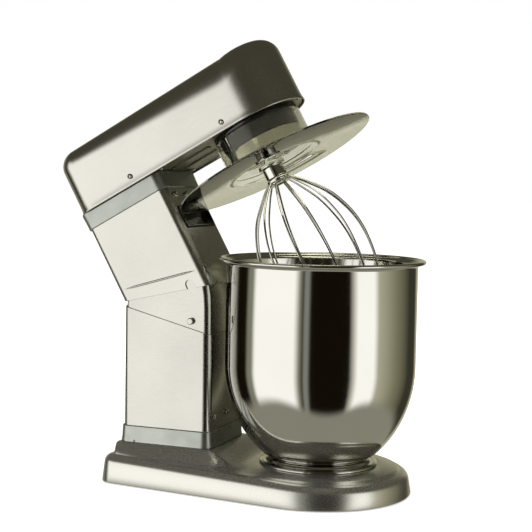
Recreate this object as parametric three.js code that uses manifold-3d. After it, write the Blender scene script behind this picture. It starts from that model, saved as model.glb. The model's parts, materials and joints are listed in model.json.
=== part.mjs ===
// Tilt-head planetary stand mixer, 7-litre class, modelled with its head tilted open.
// Millimetres, +Z up, +X towards the bowl end, +Y to the side with the controls.
// The machine is drawn about the bowl's axis, then moved so that the origin is under
// the middle of the whole object.
// Everything on the tilting head is drawn level, as with the head closed, and the
// group that holds it is turned open about the hinge.
import * as THREE from 'three';
import { mergeVertices } from 'three/addons/utils/BufferGeometryUtils.js';
import Module from 'manifold-3d';

const wasm = await Module();
wasm.setup();

// ---- driving dimensions -------------------------------------------------

const BOWL_AXIS_X = 100.26; // bowl axis, forward of the whole object's middle
const GAP = 0.3; // between pieces that touch
const SHEET = 1.2; // steel sheet

const HINGE = { x: -228, z: 212.7, radius: 2.9, pin: 1.5 };
const HEAD_OPEN = THREE.MathUtils.degToRad(29);

const BASE = {
  noseRadius: 108.8, rear: -250.5, rearHalf: 81.3, cornerRadius: 22,
  skirtBottom: 1.2, frontTop: 26.5, rearTop: 34, thickness: 1.6,
};
const PLATE = { bottom: 8.3, top: 9.8 };
const FOOT = { radius: 14, height: 8, x: [62, -212], y: [62, 55] };
const SEAT = { domeRadius: 96, topRadius: 70, top: 33, ringOuter: 69, ringInner: 48 };

const COLUMN = { rear: -231.3, front: -118.3, half: 51.8, corner: 9.5 };
const LOWER = { bottom: 47, rearTop: 209.3, frontTop: 180.5 };
const UPPER = { rearBottom: 215.9, frontBottom: 182.9, top: 330 };
const SLEEVE = { inset: 1.6, wall: 1.5, bottom: 152, rise: 34 };
const COLLAR_LOW = { bottom: 46.8, top: 66.4, topFlange: 2, bottomFlange: 3.6 };
const COLLAR_UP = { bottom: 310.3, top: 330.3, bottomFlange: 1.8, topFlange: 2.8 };
const SPIGOT_TOP = 332.7; // the upper collar's tongue inside the head cover
const STUD = { x: -143, z: 195.7, radius: 4, reach: 54.6 };

const HEAD = {
  rear: -234.2, noseCentre: 5.9, half: 58, cornerRadius: 25, bottom: 330.6,
  rearTop: 408.2, noseTop: 416.6, rearFillet: 20, sideFillet: 40, noseFillet: 20, lip: 1, lipHeight: 3,
};
const PAN = { bottom: 333, top: 335 };
const HOUSING = { radius: 47, ledgeRadius: 53, bottom: 308.5, ledge: 326.5, bore: 17.3 };
const SPINDLE_RADIUS = 8;

const MODULE = 1.5; // gear tooth module
const RING_TEETH = 54;
const PLANET_TEETH = 16;
const ORBIT = (MODULE * (RING_TEETH - PLANET_TEETH)) / 2; // shaft to spindle
const ORBIT_ANGLE = THREE.MathUtils.degToRad(-81.3); // where the shaft stands at rest
const GEAR = { bottom: 312, height: 10, rimRadius: 44.3 };

const DRUM = { radius: 46, bottom: 290.3, top: 308.2, wall: 2.5 };
const SHAFT = { radius: 7, bottom: 262, top: 323 };
const PULLEY = { bottom: 347, height: 14, driven: 48, driver: 10 };
const MOTOR = { x: -175, radius: 40, bottom: 256, top: 335, nose: 12, shaft: 4 };

const WHISK = { wire: 1.15, loops: 6, bottom: 52, hubRadius: 12.6, flange: 16, phase: 3 };
const BOWL = {
  wallRadius: 111.2, rimRadius: 118.2, rimZ: 270.2, rimRoll: 2.3, bulgeTop: 150,
  bulgeDepth: 130, wall: 1, floor: 43.2, footRadius: 53, footBottom: 39.5,
};
const GUARD = { radius: 122.5, z: 278.4, half: 1.2, neckInner: 51.8, wall: 2.2, neckTop: 325.5 };
const GUARD_LUG = 236; // degrees round the hub, at the rear on the side without controls
const FILLER = { inner: 62, outer: 92, from: 66, to: 106, lip: 2, lipTop: 288 };
const POCKET = { half: 41, bottom: 257, top: 286, rim: 1.5, proud: 1.4, depth: 5.2 };

const PANEL = { x: -175, z: 112, width: 60, height: 74, thickness: 3 };
const KNOB = { z: 127, radius: 17, height: 15 };
const BUTTON = { z: 92, offset: 15, radius: 7.5, proud: 4 };

// ---- geometry helpers ----------------------------------------------------

const vec2 = (x, y) => new THREE.Vector2(x, y);

function toSolid(geometry) {
  const bare = geometry.clone();
  bare.deleteAttribute('normal');
  bare.deleteAttribute('uv');
  const merged = mergeVertices(bare, 1e-4);
  return new wasm.Manifold(
    new wasm.Mesh({
      numProp: 3,
      vertProperties: new Float32Array(merged.attributes.position.array),
      triVerts: new Uint32Array(merged.index.array),
    })
  );
}

function toGeometry(solid) {
  const mesh = solid.getMesh();
  const geometry = new THREE.BufferGeometry();
  geometry.setAttribute('position', new THREE.BufferAttribute(mesh.vertProperties, 3));
  geometry.setIndex(new THREE.BufferAttribute(mesh.triVerts, 1));
  geometry.computeVertexNormals();
  return geometry;
}

function join(...geometries) {
  return toGeometry(geometries.map(toSolid).reduce((a, b) => a.add(b)));
}

function cut(geometry, ...tools) {
  return toGeometry(tools.map(toSolid).reduce((a, b) => a.subtract(b), toSolid(geometry)));
}

function keepWithin(geometry, region) {
  return toGeometry(toSolid(geometry).intersect(toSolid(region)));
}

// A block from its low and high corners.
function block(x0, x1, y0, y1, z0, z1) {
  const geometry = new THREE.BoxGeometry(x1 - x0, y1 - y0, z1 - z0);
  return geometry.translate((x0 + x1) / 2, (y0 + y1) / 2, (z0 + z1) / 2);
}

// A solid turned about +Z. The profile is a list of [radius, z] that climbs outside.
function turned(profile, segments = 16) {
  const points = profile.map(([r, z]) => vec2(r, z));
  return new THREE.LatheGeometry(points, segments).rotateX(Math.PI / 2);
}

function rod(radius, z0, z1, segments = 12) {
  return turned([[0, z0], [radius, z0], [radius, z1], [0, z1]], segments);
}

function tube(inner, outer, z0, z1, segments = 20) {
  const profile = [[inner, z0], [outer, z0], [outer, z1], [inner, z1], [inner, z0]];
  return turned(profile, segments);
}

// Turns a solid that stands on +Z so that it points along +Y.
const alongY = (geometry) => geometry.rotateX(-Math.PI / 2);

// An outline made of arcs, each {x, y, r, from, to, steps} in degrees, joined by
// straight lines. An inset shrinks every arc about its own centre.
function outline(arcs, inset = 0) {
  const points = [];
  for (const { x, y, r, from, to, steps } of arcs) {
    for (let i = 0; i <= steps; i++) {
      const angle = THREE.MathUtils.degToRad(from + ((to - from) * i) / steps);
      const d = typeof inset === 'function' ? inset(x + r * Math.cos(angle)) : inset;
      points.push([x + (r - d) * Math.cos(angle), y + (r - d) * Math.sin(angle)]);
    }
  }
  return points;
}

const shapeOf = (points) => new THREE.Shape(points.map(([x, y]) => vec2(x, y)));

function prism(points, z0, z1) {
  const options = { depth: z1 - z0, bevelEnabled: false };
  return new THREE.ExtrudeGeometry(shapeOf(points), options).translate(0, 0, z0);
}

// A prism of an outline drawn in X and Z, between two Y planes.
function sidePrism(points, y0, y1) {
  return prism(points.map(([x, z]) => [x, -z]), y0, y1).rotateX(-Math.PI / 2);
}

// A closed solid through rings of equal length, each a list of [x, y, z].
function loft(rings) {
  const count = rings[0].length;
  const positions = rings.flat(2);
  const index = [];
  for (let ring = 0; ring + 1 < rings.length; ring++) {
    for (let i = 0; i < count; i++) {
      const a = ring * count + i;
      const b = ring * count + ((i + 1) % count);
      index.push(a, b, b + count, a, b + count, a + count);
    }
  }
  const last = (rings.length - 1) * count;
  for (let i = 1; i + 1 < count; i++) {
    index.push(0, i + 1, i);
    index.push(last, last + i, last + i + 1);
  }
  const geometry = new THREE.BufferGeometry();
  geometry.setAttribute('position', new THREE.Float32BufferAttribute(positions, 3));
  geometry.setIndex(index);
  return geometry;
}

// A rounded rectangle as arcs, for outline().
function roundedRectangle(x0, x1, half, r, steps = 4) {
  return [
    { x: x1 - r, y: half - r, r, from: 0, to: 90, steps },
    { x: x0 + r, y: half - r, r, from: 90, to: 180, steps },
    { x: x0 + r, y: r - half, r, from: 180, to: 270, steps },
    { x: x1 - r, y: r - half, r, from: 270, to: 360, steps },
  ];
}

function material(color, roughness, metalness) {
  return () => new THREE.MeshStandardMaterial({ color, roughness, metalness });
}

const STEEL = material(0xb9b6a6, 0.35, 0.9);
const CHROME = material(0xd8d8d0, 0.12, 1);
const CAST = material(0x8f9490, 0.6, 0.3);
const BLACK = material(0x111211, 0.3, 0);
const RUBBER = material(0x1a1a1a, 0.9, 0);
const CLEAR = () =>
  new THREE.MeshStandardMaterial({
    color: 0xb8b49a, roughness: 0.1, metalness: 0, transparent: true, opacity: 0.5,
  });
const BRASS = material(0xb08d45, 0.4, 0.9);
const GREEN = material(0x2c8a3c, 0.4, 0);
const RED = material(0xb32621, 0.4, 0);
const BOARD = material(0x1f5a33, 0.6, 0);

function piece(name, geometry, makeMaterial) {
  const mesh = new THREE.Mesh(geometry, makeMaterial());
  mesh.name = name;
  return mesh;
}

// ---- base ----------------------------------------------------------------

// The base outline: a round nose about the bowl axis and two rounded rear corners,
// joined by their common tangents.
function baseArcs() {
  const { noseRadius, rear, rearHalf, cornerRadius: r } = BASE;
  const corner = vec2(rear + r, rearHalf - r);
  const tangent = Math.acos((noseRadius - r) / corner.length());
  const side = THREE.MathUtils.radToDeg(corner.angle() - tangent);
  return [
    { x: 0, y: 0, r: noseRadius, from: -side, to: side, steps: 16 },
    { x: corner.x, y: corner.y, r, from: side, to: 180, steps: 4 },
    { x: corner.x, y: -corner.y, r, from: 180, to: 360 - side, steps: 4 },
  ];
}

// Height of the base's top sheet, which climbs towards the column.
function baseTop(x) {
  const t = (BASE.noseRadius - x) / (BASE.noseRadius - BASE.rear);
  return THREE.MathUtils.lerp(BASE.frontTop, BASE.rearTop, t);
}

// The stamped base as a filled shape, shrunk by the sheet's thickness for its inside.
function baseForm(shrink) {
  const arcs = baseArcs();
  const steps = [[3.4, 9], [5, 4.6], [8.4, 1.5], [13.5, 0]];
  const bottom = BASE.skirtBottom - shrink;
  const rings = [outline(arcs, shrink).map(([x, y]) => [x, y, bottom])];
  for (const [inset, drop] of steps) {
    const ring = outline(arcs, inset + shrink);
    rings.push(ring.map(([x, y]) => [x, y, baseTop(x) - drop - shrink]));
  }
  const seatTop = SEAT.top - shrink;
  const dome = turned([
    [0, 12], [SEAT.domeRadius - shrink, 12], [SEAT.domeRadius - shrink, 27.6 - shrink],
    [86 - shrink, 31.2 - shrink], [76, seatTop - 0.3], [SEAT.topRadius, seatTop], [0, seatTop],
  ], 28);
  const { rear, front, half } = COLUMN;
  const foot = roundedRectangle(rear - 15, front + 36, half + 26, 20, 3);
  const head = roundedRectangle(rear - 4.5, front + 6, half + 4.5, 12, 3);
  const ramp = loft([
    outline(foot, shrink).map(([x, y]) => [x, y, 25]),
    outline(foot, shrink).map(([x, y]) => [x, y, baseTop(x) - 0.6 - shrink]),
    outline(head, shrink).map(([x, y]) => [x, y, COLLAR_LOW.bottom - GAP - shrink]),
  ]);
  return join(loft(rings), dome, ramp);
}

function baseCover() {
  const wires = block(-205, -145, -25, 25, 30, 60);
  const gland = rod(6.5, -10, 30).rotateY(-Math.PI / 2).translate(-240, 0, 20);
  return cut(baseForm(0), baseForm(BASE.thickness), wires, gland);
}

function basePlate() {
  const inset = 4.2;
  return prism(outline(baseArcs(), inset), PLATE.bottom, PLATE.top);
}

function feet() {
  const places = [[0, 1], [0, -1], [1, 1], [1, -1]];
  const profile = [
    [0, 0], [FOOT.radius - 2, 0], [FOOT.radius, 2], [FOOT.radius, FOOT.height], [0, FOOT.height],
  ];
  return places.map(([row, side], i) => {
    const foot = piece('foot_' + (i + 1), turned(profile, 20), RUBBER);
    foot.position.set(FOOT.x[row], side * FOOT.y[row], 0);
    return foot;
  });
}

// Two stepped beads round the bowl's foot.
function seatRing() {
  const { ringInner: inner, ringOuter: outer, top } = SEAT;
  const floor = top + GAP;
  const rest = BOWL.footBottom - GAP;
  return turned([
    [inner, floor], [outer, floor], [outer, floor + 1.6], [outer - 3, floor + 3],
    [outer - 7, floor + 3.2], [outer - 9, rest], [outer - 11.5, rest + 1.2],
    [outer - 14.2, rest + 0.8], [outer - 14.7, rest], [inner, rest], [inner, floor],
  ], 24);
}

function cableGland() {
  const profile = [[3.5, 0], [6.2, 0], [6.2, 8], [10, 8], [10, 13], [7, 16], [3.5, 16], [3.5, 0]];
  return turned(profile, 20).rotateY(-Math.PI / 2).translate(-243, 0, 20);
}

// ---- column --------------------------------------------------------------

const columnArcs = () =>
  roundedRectangle(COLUMN.rear, COLUMN.front, COLUMN.half, COLUMN.corner);

// A rectangular tube that follows the column, its faces inset from the column's.
function columnTube(inset, wall, z0, z1) {
  const arcs = columnArcs();
  return cut(prism(outline(arcs, inset), z0, z1),
    prism(outline(arcs, inset + wall), z0 - 1, z1 + 1));
}

// Everything under (or over) the sloping line from the column's rear to its front.
function columnWedge(rearZ, frontZ, limitZ) {
  const { rear, front } = COLUMN;
  const slope = (frontZ - rearZ) / (front - rear);
  const margin = 10;
  const points = [
    [rear - margin, limitZ], [front + margin, limitZ],
    [front + margin, frontZ + slope * margin], [rear - margin, rearZ - slope * margin],
  ];
  return sidePrism(limitZ > rearZ ? points.reverse() : points, -70, 70);
}

const throughSide = (radius, x, z, y0, y1) =>
  alongY(rod(radius, y0, y1)).translate(x, 0, z);

function lowerColumn() {
  const shell = keepWithin(columnTube(0, SHEET, LOWER.bottom, 220),
    columnWedge(LOWER.rearTop, LOWER.frontTop, 0));
  const holes = [throughSide(6, PANEL.x, KNOB.z, 40, 60)];
  for (const side of [-1, 1]) {
    const x = PANEL.x + side * BUTTON.offset;
    holes.push(throughSide(BUTTON.radius + 0.5, x, BUTTON.z, 40, 60));
  }
  return cut(shell, ...holes);
}

// The sleeve's filled form, inset from the column's faces. Above the hinge its front is
// turned about the hinge, so that the tilting half of the column clears it.
function sleeveForm(inset, bottom, rise) {
  const { x, z } = HINGE;
  const { rear, front, half, corner } = COLUMN;
  const form = prism(outline(columnArcs(), inset), bottom, z + rise);
  const side = sidePrism([
    [rear, 0], [front, 0], [front, z + rise], [x + 22, z + rise], [rear, z + rise - 29],
  ], -70, 70);
  const reach = front - x - corner;
  const profile = [[0, inset - half]];
  for (let angle = -90; angle <= 90; angle += 22.5) {
    const turn = THREE.MathUtils.degToRad(angle);
    const middle = Math.sign(angle) * (half - corner);
    if (angle === 0) continue;
    profile.push([reach + (corner - inset) * Math.cos(turn), middle + (corner - inset) * Math.sin(turn)]);
  }
  profile.push([0, half - inset]);
  const nose = alongY(turned(profile, 48)).translate(x, 0, z);
  return keepWithin(keepWithin(form, side), join(nose, block(-400, 0, -80, 80, -50, z)));
}

// The fixed inner tube that the head's half of the column slides over.
function columnSleeve() {
  const { inset, wall, bottom, rise } = SLEEVE;
  const outer = sleeveForm(inset, bottom, rise);
  const hollow = sleeveForm(inset + wall, bottom - 1, rise + 8);
  const window = block(COLUMN.rear - 1, HINGE.x + 6, -17.4, 17.4, HINGE.z - 7, 260);
  const knuckles = [[17.4, 41], [-41, -17.4]].map(([y0, y1]) =>
    throughSide(HINGE.radius, HINGE.x, HINGE.z, y0, y1));
  const pinHole = throughSide(HINGE.pin + 0.06, HINGE.x, HINGE.z, -60, 60);
  return cut(join(cut(outer, hollow, window), ...knuckles), pinHole);
}

function hingeLeaf() {
  const knuckle = throughSide(HINGE.radius, HINGE.x, HINGE.z, -17.1, 17.1);
  const leaf = block(-229.7, -228.2, -16.8, 16.8, HINGE.z, HINGE.z + 36);
  const pinHole = throughSide(HINGE.pin + 0.06, HINGE.x, HINGE.z, -60, 60);
  return cut(join(knuckle, leaf), pinHole);
}

function stopStud(side) {
  const start = COLUMN.half - SLEEVE.inset + GAP;
  const stud = alongY(turned([
    [0, start], [STUD.radius, start], [STUD.radius, STUD.reach - 0.8],
    [STUD.radius - 0.8, STUD.reach], [0, STUD.reach],
  ], 16));
  return side > 0 ? stud.translate(STUD.x, 0, STUD.z)
    : stud.rotateZ(Math.PI).translate(STUD.x, 0, STUD.z);
}

// The half of the column that tilts with the head, with a notch on each side that
// comes down over the sleeve's studs.
function upperColumn() {
  const shell = keepWithin(columnTube(0, SHEET, 150, UPPER.top),
    columnWedge(UPPER.rearBottom, UPPER.frontBottom, 400));
  const { x, z } = STUD;
  const notch = join(
    throughSide(5.2, x, z, -60, 60),
    sidePrism([[x - 5, z], [x - 6, z - 14], [x + 8, z - 14], [x + 5, z]].reverse(), -60, 60)
  );
  const { half, bottom, top, rim } = POCKET;
  const inner = half - rim + 0.6;
  const face = COLUMN.front;
  const recess = block(face - 5, face + 5, -inner, inner, bottom + rim - 0.6, top - rim + 0.6);
  const clamp = throughSide(4.4, HINGE.x + 60, HINGE.z - 4, 40, 60);
  return cut(shell, notch, recess, clamp);
}

// A cast ring round the column, its flange wider at one end than at the other.
function collar({ bottom, top, bottomFlange, topFlange }) {
  const arcs = columnArcs();
  const ring = (flange, z) => outline(arcs, -flange).map(([x, y]) => [x, y, z]);
  const share = bottomFlange > topFlange ? 0.8 : 0.2;
  const waist = THREE.MathUtils.lerp(bottomFlange, topFlange, share);
  const middle = THREE.MathUtils.lerp(bottom, top, 0.35);
  const form = loft([ring(bottomFlange, bottom), ring(waist, middle), ring(topFlange, top)]);
  return cut(form, prism(outline(arcs, -GAP), bottom - 1, top + 1));
}

function upperCollar() {
  const tongue = columnTube(-1.3, 1, COLLAR_UP.top - 2, SPIGOT_TOP);
  return join(collar(COLLAR_UP), keepWithin(tongue, headForm(SHEET + GAP)));
}

// ---- controls ------------------------------------------------------------

function controlPanel() {
  const { x, z, width, height, thickness } = PANEL;
  const face = COLUMN.half + GAP;
  const holes = [throughSide(6, x, KNOB.z, 40, 80)];
  for (const side of [-1, 1]) {
    const place = x + side * BUTTON.offset;
    holes.push(throughSide(BUTTON.radius + 0.5, place, BUTTON.z, 40, 80));
  }
  const plate = prism(outline(roundedRectangle(x - width / 2, x + width / 2, height / 2, 6, 4)),
    0, thickness);
  return cut(plate.rotateX(-Math.PI / 2).translate(0, face, z), ...holes);
}

function speedKnob() {
  const face = COLUMN.half + PANEL.thickness + 2 * GAP;
  const end = face + KNOB.height;
  const dial = turned([
    [0, 38], [4, 38], [4, face], [KNOB.radius, face], [KNOB.radius, face + 4],
    [KNOB.radius - 2.5, end - 1], [KNOB.radius - 4, end], [0, end],
  ], 28);
  const pointer = block(-1, 1, -KNOB.radius, -4, end - 0.4, end + 1);
  return alongY(cut(dial, pointer)).translate(PANEL.x, 0, KNOB.z);
}

function pushButton(side) {
  const face = COLUMN.half + PANEL.thickness + GAP;
  const cap = turned([
    [0, 44], [BUTTON.radius, 44], [BUTTON.radius, face + BUTTON.proud - 1],
    [BUTTON.radius - 1, face + BUTTON.proud], [0, face + BUTTON.proud],
  ], 20);
  return alongY(cap).translate(PANEL.x + side * BUTTON.offset, 0, BUTTON.z);
}

// The knob that clamps the head: its screw passes through the tilting half of the
// column and presses on the sleeve.
function lockKnob() {
  const start = COLUMN.half - SLEEVE.inset + GAP;
  const face = COLUMN.half + GAP;
  const profile = [
    [0, start], [4, start], [4, face], [8, face], [8, face + 5], [14, face + 7],
    [14, face + 17], [11.5, face + 20], [0, face + 20],
  ];
  return alongY(turned(profile, 24)).translate(HINGE.x + 60, 0, HINGE.z - 4);
}

// A pan-head screw whose head stands on a face at the origin and points along +Z.
function screw(radius) {
  return turned([
    [0, GAP], [radius, GAP], [radius, radius * 0.4], [radius * 0.7, radius * 0.75],
    [0, radius * 0.8],
  ], 8);
}

// ---- head ----------------------------------------------------------------

// The head cover's outline: a half-round nose and two rounded rear corners.
function headArcs() {
  const { rear, noseCentre, half, cornerRadius: r } = HEAD;
  return [
    { x: noseCentre, y: 0, r: half, from: -90, to: 90, steps: 12 },
    { x: rear + r, y: half - r, r, from: 90, to: 180, steps: 3 },
    { x: rear + r, y: r - half, r, from: 180, to: 270, steps: 3 },
  ];
}

// The cover's top climbs slightly from the rear to the nose.
function coverTop(x) {
  const { rear, noseCentre, half, rearTop, noseTop } = HEAD;
  return THREE.MathUtils.mapLinear(x, rear, noseCentre + half, rearTop, noseTop);
}

// Radius of the cover's top edge: it grows along the sides and tightens round the nose.
function topFillet(x) {
  const { rear, noseCentre, half, rearFillet, sideFillet, noseFillet } = HEAD;
  if (x > noseCentre) {
    return THREE.MathUtils.mapLinear(x, noseCentre, noseCentre + half, sideFillet, noseFillet);
  }
  return THREE.MathUtils.mapLinear(x, rear, noseCentre, rearFillet, sideFillet);
}

// The head cover as a filled shape, shrunk by the sheet's thickness for its inside.
function headForm(shrink) {
  const arcs = headArcs();
  const { bottom, lip, lipHeight } = HEAD;
  const level = (inset, z) => outline(arcs, inset).map(([x, y]) => [x, y, z]);
  const rings = shrink
    ? [level(shrink, bottom - 1)]
    : [level(-lip, bottom), level(-lip, bottom + lipHeight - 1), level(0, bottom + lipHeight)];
  for (const degrees of [0, 30, 60, 90]) {
    const angle = THREE.MathUtils.degToRad(degrees);
    const inset = (x) => shrink + (topFillet(x) - shrink) * (1 - Math.cos(angle));
    const height = (x) => coverTop(x) - shrink - (topFillet(x) - shrink) * (1 - Math.sin(angle));
    const places = outline(arcs);
    rings.push(outline(arcs, inset).map(([x, y], i) => [x, y, height(places[i][0])]));
  }
  return loft(rings);
}

const headCover = () => cut(headForm(0), headForm(SHEET));

function headPan() {
  const sheet = prism(outline(headArcs(), SHEET + GAP), PAN.bottom, PAN.top);
  const motorHole = rod(MOTOR.radius + 2, 300, 360, 32).translate(MOTOR.x, 0, 0);
  const bossHole = rod(20.3, 300, 360, 20);
  return cut(sheet, motorHole, bossHole);
}

function hubHousing() {
  const { radius, ledgeRadius, bottom, ledge, bore } = HOUSING;
  const boss = bore + 2.2;
  const body = turned([
    [44.6, bottom], [radius, bottom], [radius, ledge], [ledgeRadius, ledge],
    [ledgeRadius, PAN.bottom - GAP], [boss, PAN.bottom - GAP], [boss, 343.5], [bore, 343.5],
    [bore, ledge + 0.3], [15, ledge + 0.3], [15, 324.5], [44.6, 324.5], [44.6, bottom],
  ], 28);
  // The lug that the splash guard's neck drops over.
  const lug = block(radius - 1.5, 56, -5, 5, bottom + 1, bottom + 14);
  return join(body, lug.rotateZ(THREE.MathUtils.degToRad(GUARD_LUG)));
}

const bearing = (z0) => tube(SPINDLE_RADIUS + 0.13, HOUSING.bore - GAP, z0, z0 + 6.5, 24);

// A gear outline with straight-sided teeth, slimmer than their spaces for backlash.
// The first tooth (or for a ring gear, the first space) is centred on +X.
function toothed(teeth, inward) {
  const pitch = (MODULE * teeth) / 2;
  const tip = inward ? pitch + MODULE * 1.2 : pitch + MODULE * 0.8;
  const root = inward ? pitch - MODULE * 0.8 : pitch - MODULE * 1.2;
  const share = inward ? [0.34, 0.16] : [0.12, 0.24];
  const points = [];
  for (let i = 0; i < teeth; i++) {
    const turn = (offset) => ((i + offset) / teeth) * 2 * Math.PI;
    for (const [radius, offset] of [[root, -share[1] - (inward ? 0.22 : 0.06)], [tip, -share[0]],
      [tip, share[0]], [root, share[1] + (inward ? 0.22 : 0.06)]]) {
      points.push([radius * Math.cos(turn(offset)), radius * Math.sin(turn(offset))]);
    }
  }
  return points;
}

function ringGear() {
  const rim = rod(GEAR.rimRadius, GEAR.bottom, GEAR.bottom + GEAR.height, 32);
  const inside = prism(toothed(RING_TEETH, true), GEAR.bottom - 1, GEAR.bottom + GEAR.height + 1);
  return cut(rim, inside);
}

function planetGear() {
  const gear = prism(toothed(PLANET_TEETH, false), GEAR.bottom + 0.5, GEAR.bottom + GEAR.height - 0.5);
  return cut(gear, rod(SHAFT.radius + GAP, 300, 330));
}

function motorBody() {
  const { radius, bottom, top, nose, shaft } = MOTOR;
  return turned([
    [0, bottom], [radius - 6, bottom], [radius, bottom + 5], [radius, top - 4], [radius - 4, top],
    [nose, top], [nose, top + 5], [shaft + 0.2, top + 5], [shaft + 0.2, 310], [0, 310],
  ], 20).translate(MOTOR.x, 0, 0);
}

function motorPlate() {
  const plate = block(MOTOR.x - 47, MOTOR.x + 47, -52, 52, PAN.top + GAP, PAN.top + 3);
  return cut(plate, rod(MOTOR.nose + GAP, 320, 350, 20).translate(MOTOR.x, 0, 0));
}

// A grooved belt pulley with a rim at each side.
function pulley(radius, bore) {
  const { bottom, height } = PULLEY;
  const top = bottom + height;
  return turned([
    [bore, bottom], [radius + 1.6, bottom], [radius + 1.6, bottom + 1.5], [radius, bottom + 1.5],
    [radius, top - 1.5], [radius + 1.6, top - 1.5], [radius + 1.6, top], [bore, top], [bore, bottom],
  ], radius > 20 ? 24 : 12);
}

// The belt's outline round both pulleys, standing off each by the given distance.
function beltArcs(offset) {
  const driven = PULLEY.driven + offset;
  const driver = PULLEY.driver + offset;
  const side = THREE.MathUtils.radToDeg(Math.acos((driver - driven) / MOTOR.x));
  return [
    { x: 0, y: 0, r: driven, from: side - 180, to: 180 - side, steps: 12 },
    { x: MOTOR.x, y: 0, r: driver, from: 180 - side, to: 180 + side, steps: 6 },
  ];
}

function driveBelt() {
  const z0 = PULLEY.bottom + 2;
  const z1 = PULLEY.bottom + PULLEY.height - 2;
  return cut(prism(outline(beltArcs(3.2)), z0, z1),
    prism(outline(beltArcs(0.9)), z0 - 1, z1 + 1));
}

function guardPocket() {
  const { half, bottom, top, rim, proud, depth } = POCKET;
  const face = COLUMN.front;
  const flange = block(face + GAP, face + proud, -half, half, bottom, top);
  const inner = half - rim + GAP;
  const body = block(face - depth - 1.5, face + proud - 0.5, -inner, inner,
    bottom + rim - GAP, top - rim + GAP);
  const recess = block(face - depth, face + 10, 1.5 - inner, inner - 1.5,
    bottom + rim + 1, top - rim - 1);
  return cut(join(flange, body), recess);
}

// ---- planetary drive and whisk -------------------------------------------

// Drawn with the agitator shaft on +X of the spindle.
function planetaryCarrier() {
  const { radius, bottom, top, wall } = DRUM;
  const cup = turned([
    [0, bottom], [radius - 2, bottom], [radius, bottom + 2], [radius, top], [radius - wall, top],
    [radius - wall, bottom + 3.2], [12, bottom + 3.2], [12, 311], [SPINDLE_RADIUS, 311],
    [SPINDLE_RADIUS, 368], [0, 368],
  ], 24);
  const boss = rod(13, 284.3, 306).translate(ORBIT, 0, 0);
  return cut(join(cup, boss), rod(10, 270, 330, 20).translate(ORBIT, 0, 0));
}

const agitatorBush = () => tube(SHAFT.radius + 0.1, 9.7, 284.3, 306);

function agitatorShaft() {
  const { radius, bottom, top } = SHAFT;
  const shaft = turned([
    [0, bottom], [radius - 1, bottom], [radius, bottom + 1], [radius, top - 1], [radius - 1, top],
    [0, top],
  ], 24);
  return cut(shaft, rod(2.2 + GAP, -20, 20).rotateX(Math.PI / 2).translate(0, 0, 274.6));
}

const agitatorPin = () => rod(2.2, -14.6, 14.6, 14).rotateX(Math.PI / 2).translate(0, 0, 274.6);

function whiskHub() {
  const { hubRadius: r, flange } = WHISK;
  const body = turned([
    [0, 250.6], [13, 250.6], [13, 252.4], [9.5, 252.8], [9.5, 257.2], [r, 258], [r, 271],
    [flange, 271.5], [flange, 276], [7.4, 276], [7.4, 261], [0, 261],
  ], 20);
  return cut(body, block(-2.7, 2.7, -20, 20, 272, 280));
}

// One wire loop, in the plane turned by the given angle about the whisk's axis.
function whiskLoop(angle) {
  const side = [[12.2, 255], [23, 246], [43, 224], [57, 198], [65, 163], [63, 128], [50, 88],
    [27, 60]];
  const across = [...side, [0, WHISK.bottom], ...side.map(([r, z]) => [-r, z]).reverse()];
  const path = new THREE.CatmullRomCurve3(across.map(([r, z]) =>
    new THREE.Vector3(r * Math.cos(angle), r * Math.sin(angle), z)));
  const section = outline([{ x: 0, y: 0, r: WHISK.wire, from: 45, to: 315, steps: 3 }]);
  return new THREE.ExtrudeGeometry(shapeOf(section), { steps: 18, extrudePath: path });
}

function whiskCage() {
  const loops = [];
  for (let i = 0; i < WHISK.loops; i++) loops.push(whiskLoop((i * Math.PI) / WHISK.loops));
  return join(tube(9.9, 13.2, 253.2, 256.8, 24), ...loops);
}

// ---- bowl and guard ------------------------------------------------------

// Half-width of the bowl's rounded lower part at a height, for its outer face.
function bowlRadius(z) {
  const drop = (BOWL.bulgeTop - z) / BOWL.bulgeDepth;
  return BOWL.wallRadius * Math.sqrt(1 - drop * drop);
}

function bowlShell() {
  const { wallRadius, rimRadius, rimZ, rimRoll, bulgeTop, wall, floor } = BOWL;
  const heights = [47, 57, 70, 90, 118, bulgeTop];
  const outer = [[0, floor], [bowlRadius(floor) - 4, floor]];
  for (const z of heights) outer.push([bowlRadius(z), z]);
  outer.push([wallRadius, 260], [rimRadius - rimRoll, 264.5]);
  for (let a = -60; a <= 180; a += 60) {
    const angle = THREE.MathUtils.degToRad(a);
    outer.push([rimRadius + rimRoll * Math.cos(angle), rimZ + rimRoll * Math.sin(angle)]);
  }
  const inner = [[rimRadius - rimRoll - 0.4, rimZ - 3], [wallRadius - wall, 261.5]];
  for (const z of [...heights].reverse()) inner.push([bowlRadius(z) - wall, z + wall * 0.8]);
  inner.push([bowlRadius(floor) - 5, floor + wall + 0.6], [0, floor + wall]);
  return turned([...outer, ...inner], 28);
}

function bowlFoot() {
  const { footRadius: r, footBottom, floor } = BOWL;
  const top = floor - GAP;
  return turned([
    [r - 3, footBottom], [r, footBottom], [r + 1, footBottom + 1.2], [r + 1, top], [r - 3, top],
    [r - 3, footBottom],
  ], 24);
}

// The filler opening's outline in the guard: a sector between two radii.
function fillerShape(grow) {
  const { inner, outer, from, to } = FILLER;
  const spread = THREE.MathUtils.radToDeg(grow / outer);
  const points = [];
  const steps = 5;
  for (let i = 0; i <= steps; i++) {
    const angle = THREE.MathUtils.degToRad(from - spread + ((to - from + 2 * spread) * i) / steps);
    points.push([(outer + grow) * Math.cos(angle), (outer + grow) * Math.sin(angle)]);
  }
  for (let i = steps; i >= 0; i--) {
    const angle = THREE.MathUtils.degToRad(from - spread + ((to - from + 2 * spread) * i) / steps);
    points.push([(inner - grow) * Math.cos(angle), (inner - grow) * Math.sin(angle)]);
  }
  return points;
}

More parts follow.
